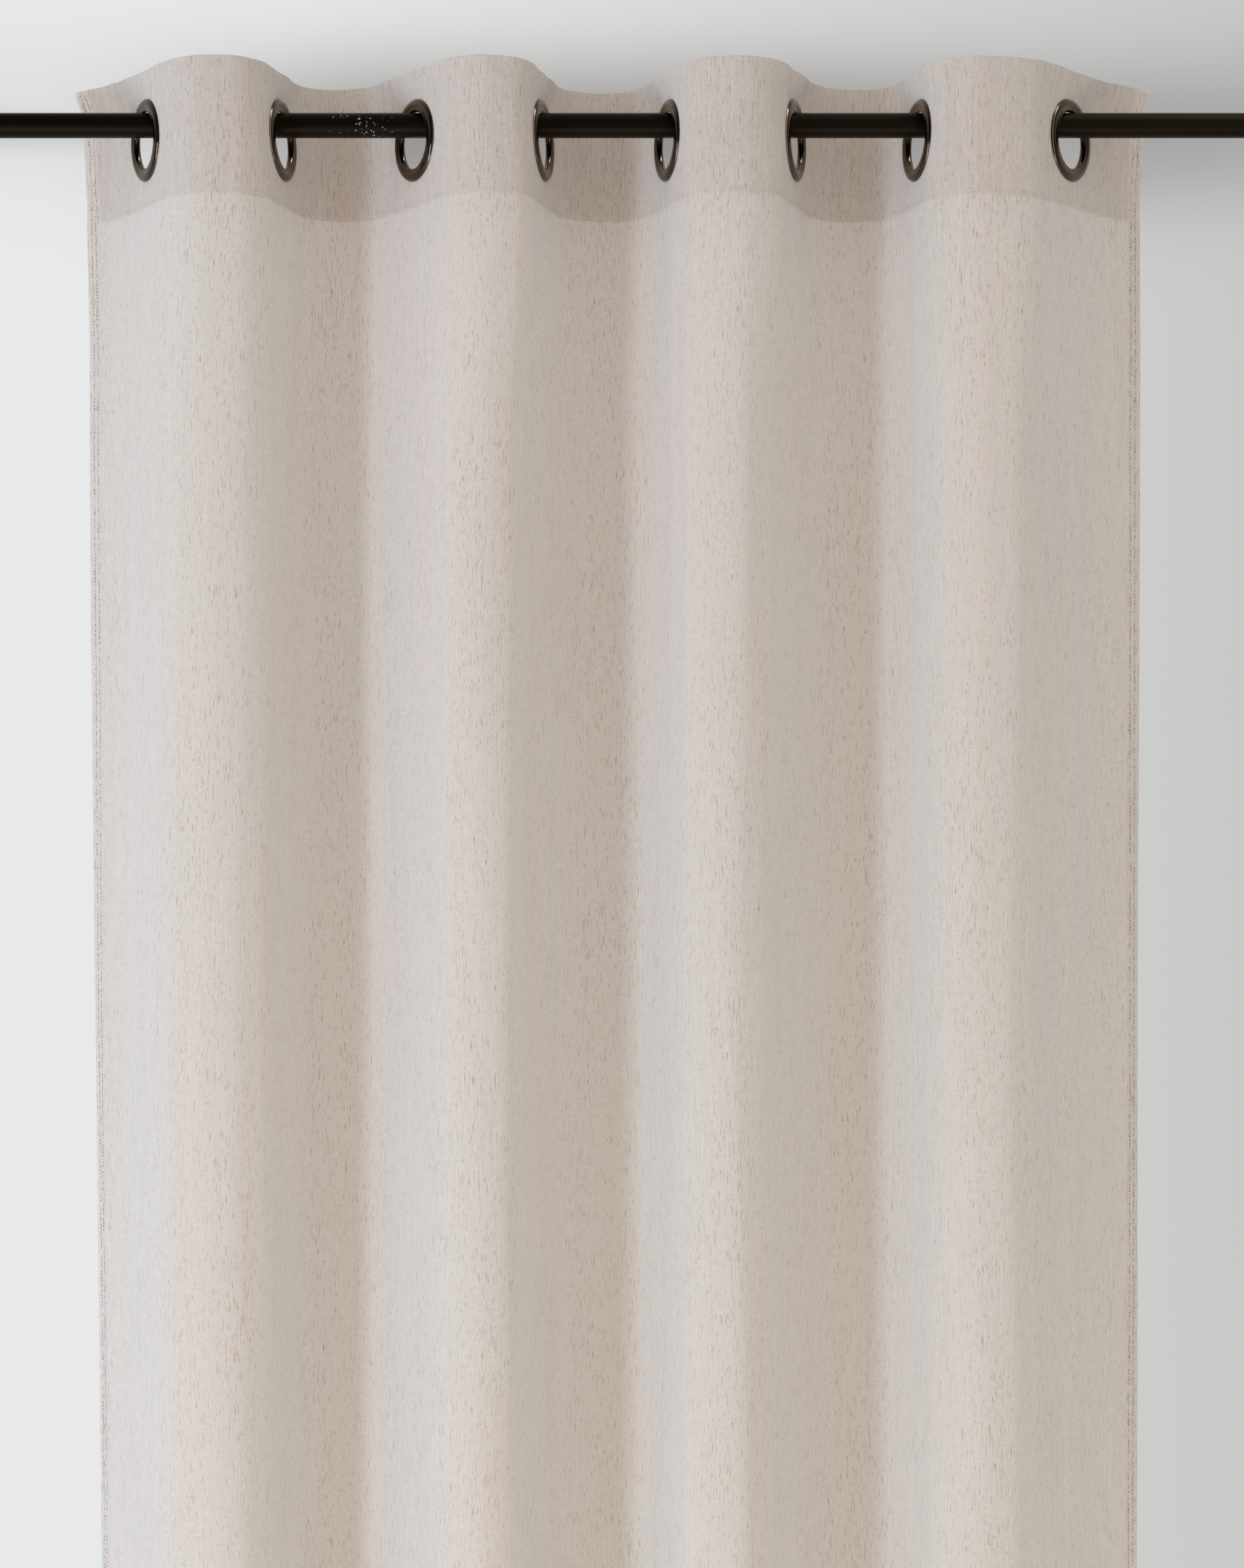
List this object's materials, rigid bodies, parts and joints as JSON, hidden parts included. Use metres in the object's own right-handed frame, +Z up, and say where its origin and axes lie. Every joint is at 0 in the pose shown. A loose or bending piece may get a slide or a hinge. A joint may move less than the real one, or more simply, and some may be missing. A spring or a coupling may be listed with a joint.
{
  "type": "sheer voile curtain on a rod",
  "caption": "Sheer linen-look voile curtain, hung in even standing folds from a plain round rod that runs through metal eyelets in its heading.",
  "frame": {"origin": "middle of the rod, on its axis", "axes": "+X along the rod to the right as seen from the room, +Y away from the room, +Z up"},
  "size_m": [1.2, 0.1634, 2.5015],
  "materials": {
    "voile": "semi-sheer linen-look polyester voile with vertical slubs",
    "facing": "the same voile, turned over behind the heading",
    "eyelet_metal": "black nickel plated, glossy",
    "rod_paint": "satin black powder coat"
  },
  "bodies": {
    "root": {"panel": "voile", "heading": "facing", "eyelet_1": "eyelet_metal", "eyelet_2": "eyelet_metal", "eyelet_3": "eyelet_metal", "eyelet_4": "eyelet_metal", "eyelet_5": "eyelet_metal", "eyelet_6": "eyelet_metal", "eyelet_7": "eyelet_metal", "eyelet_8": "eyelet_metal", "rod": "rod_paint"}
  },
  "joints": []
}
